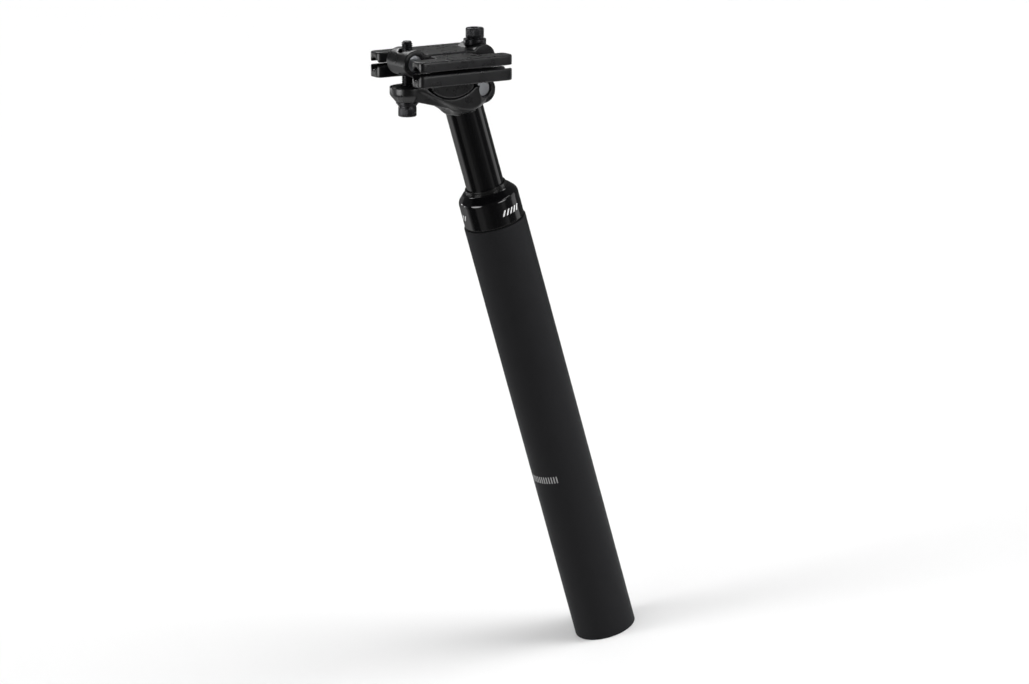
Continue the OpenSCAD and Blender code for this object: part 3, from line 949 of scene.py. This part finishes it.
def reflection_wall(name, levels, low, high):
    """Round wall with a glow that follows (azimuth from the camera, level) pairs, like flats."""
    radius, columns = 0.45, 120
    shape = bmesh.new()
    ends = []
    for i in range(columns):
        a = TURN * i / columns
        x, y = radius * math.cos(a), radius * math.sin(a)
        ends.append([shape.verts.new((x, y, z)) for z in (low, high)])
    for i in range(columns):
        one, two = ends[i - 1], ends[i]
        shape.faces.new((one[0], two[0], two[1], one[1]))
    shape.transform(Matrix.Rotation(math.radians(CAMERA_AZIMUTH + 90), 4, "Z"))
    mesh = bpy.data.meshes.new(name)
    shape.to_mesh(mesh)
    shape.free()
    tree, glow = glowing(name, mesh)
    place = tree.nodes.new("ShaderNodeTexCoord")
    turned = tree.nodes.new("ShaderNodeVectorRotate")
    turned.inputs["Angle"].default_value = math.radians(90 - CAMERA_AZIMUTH)
    split = tree.nodes.new("ShaderNodeSeparateXYZ")
    angle = tree.nodes.new("ShaderNodeMath")
    angle.operation = "ARCTAN2"
    span = tree.nodes.new("ShaderNodeMapRange")
    span.inputs["From Min"].default_value = -math.pi
    span.inputs["From Max"].default_value = math.pi
    ramp = tree.nodes.new("ShaderNodeValToRGB")
    tree.links.new(place.outputs["Object"], turned.inputs["Vector"])
    tree.links.new(turned.outputs[0], split.inputs[0])
    tree.links.new(split.outputs["Y"], angle.inputs[0])
    tree.links.new(split.outputs["X"], angle.inputs[1])
    tree.links.new(angle.outputs[0], span.inputs["Value"])
    tree.links.new(span.outputs[0], ramp.inputs["Fac"])
    tree.links.new(ramp.outputs["Color"], glow.inputs["Color"])
    stops = ramp.color_ramp.elements
    while len(stops) > 1:
        stops.remove(stops[-1])
    for number, (azimuth, level) in enumerate(levels):
        where = azimuth / 360 + 0.5
        stop = stops[0] if number == 0 else stops.new(where)
        stop.position = where
        stop.color = (level, level, level, 1)


def card(name, azimuth, elevation, wide, deep, level):
    """Bright card with fading edges that faces the collar; azimuth is from the camera's side."""
    radius = 0.42            # level distance from the post, just inside the wall
    rim = 0.45               # share of the way to its middle at which the card glows fully
    away = bearing(CAMERA_AZIMUTH + azimuth, elevation)
    spot = Vector((0, 0, top("collar"))) + away * radius / math.hypot(away.x, away.y)
    shape = bmesh.new()
    shape.loops.layers.uv.new()
    bmesh.ops.create_grid(shape, x_segments=1, y_segments=1, size=0.5, calc_uvs=True)
    shape.transform(Matrix.Translation(spot) @ away.to_track_quat("Z", "Y").to_matrix().to_4x4()
                    @ Matrix.Diagonal((wide, deep, 1, 1)))
    mesh = bpy.data.meshes.new(name)
    shape.to_mesh(mesh)
    shape.free()
    tree, glow = glowing(name, mesh)
    place = tree.nodes.new("ShaderNodeTexCoord")
    centred = tree.nodes.new("ShaderNodeMapping")
    centred.inputs["Location"].default_value = (-1, -1, 0)
    centred.inputs["Scale"].default_value = (2, 2, 1)
    fade = tree.nodes.new("ShaderNodeTexGradient")
    fade.gradient_type = "SPHERICAL"
    strength = tree.nodes.new("ShaderNodeMapRange")
    strength.inputs["From Max"].default_value = rim
    strength.inputs["To Max"].default_value = level
    tree.links.new(place.outputs["UV"], centred.inputs["Vector"])
    tree.links.new(centred.outputs["Vector"], fade.inputs["Vector"])
    tree.links.new(fade.outputs["Fac"], strength.inputs["Value"])
    tree.links.new(strength.outputs["Result"], glow.inputs["Strength"])


def soft_sun(name, azimuth, elevation, strength, spread):
    """Even light with soft shadows and no highlight; azimuth is from the camera's side."""
    away = bearing(CAMERA_AZIMUTH + azimuth, elevation)
    data = bpy.data.lights.new(name, "SUN")
    data.energy = strength
    data.angle = math.radians(spread)
    lamp = bpy.data.objects.new(name, data)
    lamp.rotation_euler = away.to_track_quat("Z", "Y").to_euler()
    lamp.visible_glossy = False
    scene.collection.objects.link(lamp)


def sky(strength):
    """Even white light from all round, which reflections don't see."""
    world = bpy.data.worlds.new("sky")
    world.use_nodes = True
    background = world.node_tree.nodes["Background"]
    background.inputs["Color"].default_value = (1, 1, 1, 1)
    background.inputs["Strength"].default_value = strength
    scene.world = world
    world.cycles_visibility.glossy = False


# What polished tubes reflect: (azimuth from the camera's side, level), left edge to right edge.
STRIPES = (
    (-180, 0.10), (-152, 0.22), (-128, 0.50), (-106, 0.95), (-97, 0.35), (-88, 0.04),
    (-64, 0.03), (-58, 0.28), (-40, 0.30), (-31, 0.13), (-16, 0.09), (-8, 0.045),
    (16, 0.045), (38, 0.13), (44, 0.30), (53, 0.30), (57, 0.06), (75, 0.06),
    (86, 0.16), (92, 1.1), (110, 1.1), (116, 0.08), (179, 0.08))
DIM_ABOVE = ((-180, 0.10), (0, 0.05), (179, 0.10))
WALL_SPLIT, WALL_TOP = 0.40, 0.70        # heights where the striped wall ends and the dim one ends

camera()
floor()
sky(0.40)
soft_sun("key_light", 75, 50, 1.1, 35)
soft_sun("fill_light", -70, 50, 0.4, 60)
soft_sun("side_light", 68, 10, 3.7, 30)
soft_sun("rim_light", -98, 10, 2.7, 30)
reflection_wall("lower_wall", STRIPES, 0, WALL_SPLIT)
reflection_wall("upper_wall", DIM_ABOVE, WALL_SPLIT, WALL_TOP)
card("card_left", -57, 19, 0.46, 0.20, 8)
card("card_right", 45, 11, 0.31, 0.10, 8)
card("card_thin", 72, 29, 0.54, 0.035, 7)
card("card_side", -110, 7, 0.065, 0.055, 9)
card("card_rear", -132, 9, 0.09, 0.05, 12)
card("card_back", 180, 42, 1.0, 0.24, 11)

scene.view_settings.view_transform = "Standard"
